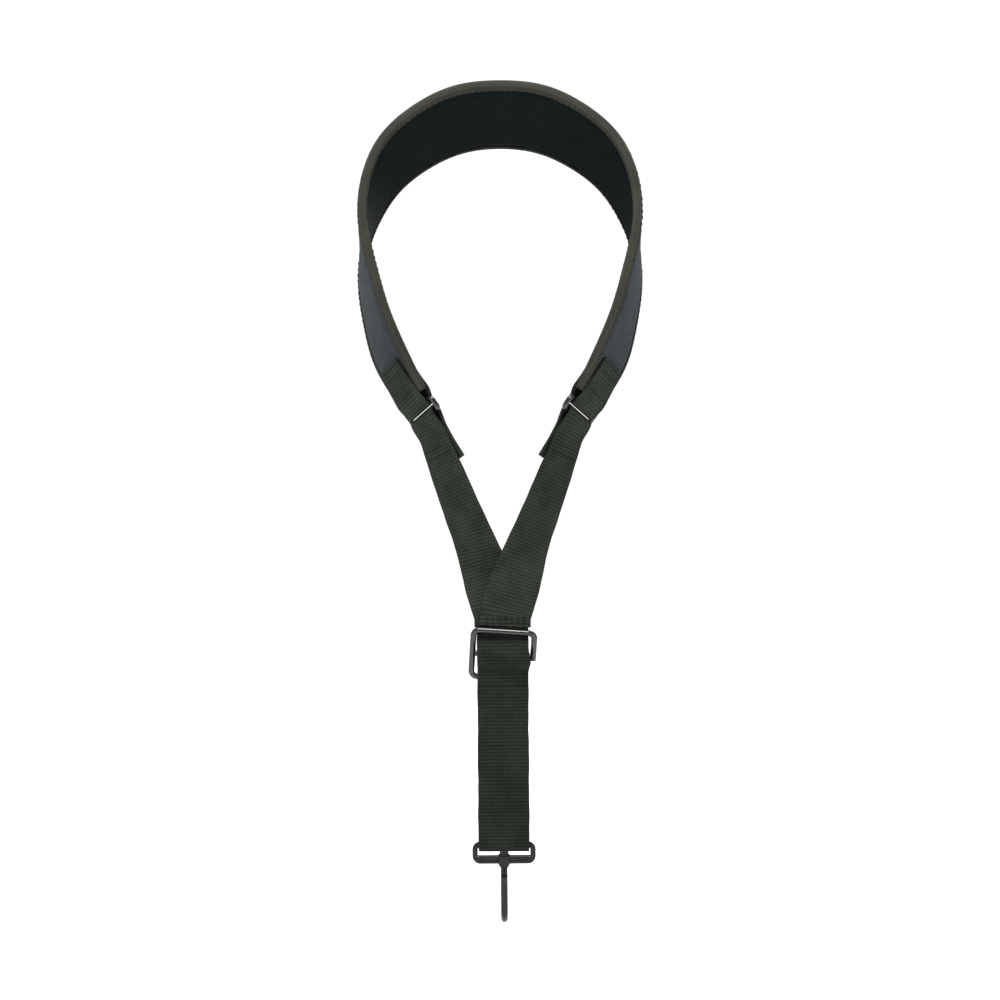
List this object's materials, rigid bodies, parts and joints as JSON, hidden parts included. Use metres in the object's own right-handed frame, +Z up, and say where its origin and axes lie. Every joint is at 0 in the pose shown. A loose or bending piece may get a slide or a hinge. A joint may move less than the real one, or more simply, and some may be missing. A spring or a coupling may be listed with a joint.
{
  "type": "saxophone neck strap",
  "caption": "Padded instrument neck strap: arched pad with bound edges, two webs on wire rings meeting at a wire slider, and a hanging web with a swivelling open hook.",
  "frame": {"origin": "middle of the pad's inner face at the top of the arch, where it sits on the neck", "axes": "+Z up as hung, towards the top of the arch; +X across the arch; +Y from the near edge of the pad to the far edge"},
  "size_m": [0.147, 0.0604, 0.4045],
  "materials": {
    "foam": "closed-cell foam",
    "tape": "woven tape",
    "cover": "knitted cloth laminated to foam",
    "lining": "brushed knit",
    "binding": "folded elastic tape",
    "webbing": "ribbed nylon webbing",
    "thread": "twisted thread",
    "black_metal": "gloss black"
  },
  "bodies": {
    "strap": {"pad_core": "foam", "stretch_tape": "tape", "pad_cover": "cover", "pad_lining": "lining", "binding_near": "binding", "binding_far": "binding", "tab_left": "webbing", "tab_right": "webbing", "tab_stitch_left": "thread", "tab_stitch_right": "thread", "front_web_left": "webbing", "front_web_right": "webbing", "web_loop_left": "webbing", "web_loop_right": "webbing", "tail_stitch_left": "thread", "tail_stitch_right": "thread", "stack_stitch": "thread", "drop_web_upper": "webbing"},
    "ring_left": {"ring_left": "black_metal"},
    "ring_right": {"ring_right": "black_metal"},
    "slider": {"slider_frame": "black_metal", "slider_bar": "black_metal", "slider_web": "webbing", "bar_wrap": "webbing", "drop_web_front": "webbing", "drop_web_back": "webbing"},
    "loop_carriage": {"web_fold": "webbing"},
    "hook_loop": {"hook_loop": "black_metal"},
    "hook": {"hook": "black_metal", "stud_head": "black_metal", "swivel_washer": "black_metal"}
  },
  "joints": [
    {"name": "ring_left_swing", "type": "hinge", "parent": "strap", "child": "ring_left", "pos_m": [-0.04027, 0.00015, -0.14005], "axis": [0.4461, -0.8538, 0.2683], "range_deg": [-15, 15], "deforming": ["web_loop_left"]},
    {"name": "ring_right_swing", "type": "hinge", "parent": "strap", "child": "ring_right", "pos_m": [0.04027, 0.00015, -0.14005], "axis": [0.4461, 0.8538, -0.2683], "range_deg": [-15, 15], "deforming": ["web_loop_right"]},
    {"name": "slider_adjust", "type": "slide", "parent": "strap", "child": "slider", "axis": [0, 0, -1], "range_m": [0, 0.12], "deforming": ["drop_web_upper"]},
    {"name": "loop_travel", "type": "slide", "parent": "slider", "child": "loop_carriage", "axis": [0, 0, 1], "range_m": [0, 0.06], "deforming": ["drop_web_front", "drop_web_back"]},
    {"name": "hook_loop_tilt", "type": "hinge", "parent": "loop_carriage", "child": "hook_loop", "pos_m": [0, 0, -0.3557], "axis": [1, 0, 0], "range_deg": [-75, 75]},
    {"name": "hook_swivel", "type": "hinge", "parent": "hook_loop", "child": "hook", "pos_m": [0, 0, -0.364], "axis": [0, 0, 1], "continuous": true}
  ],
  "couplings": [
    {"joint": "loop_travel", "follows": "slider_adjust", "ratio": 0.5}
  ]
}
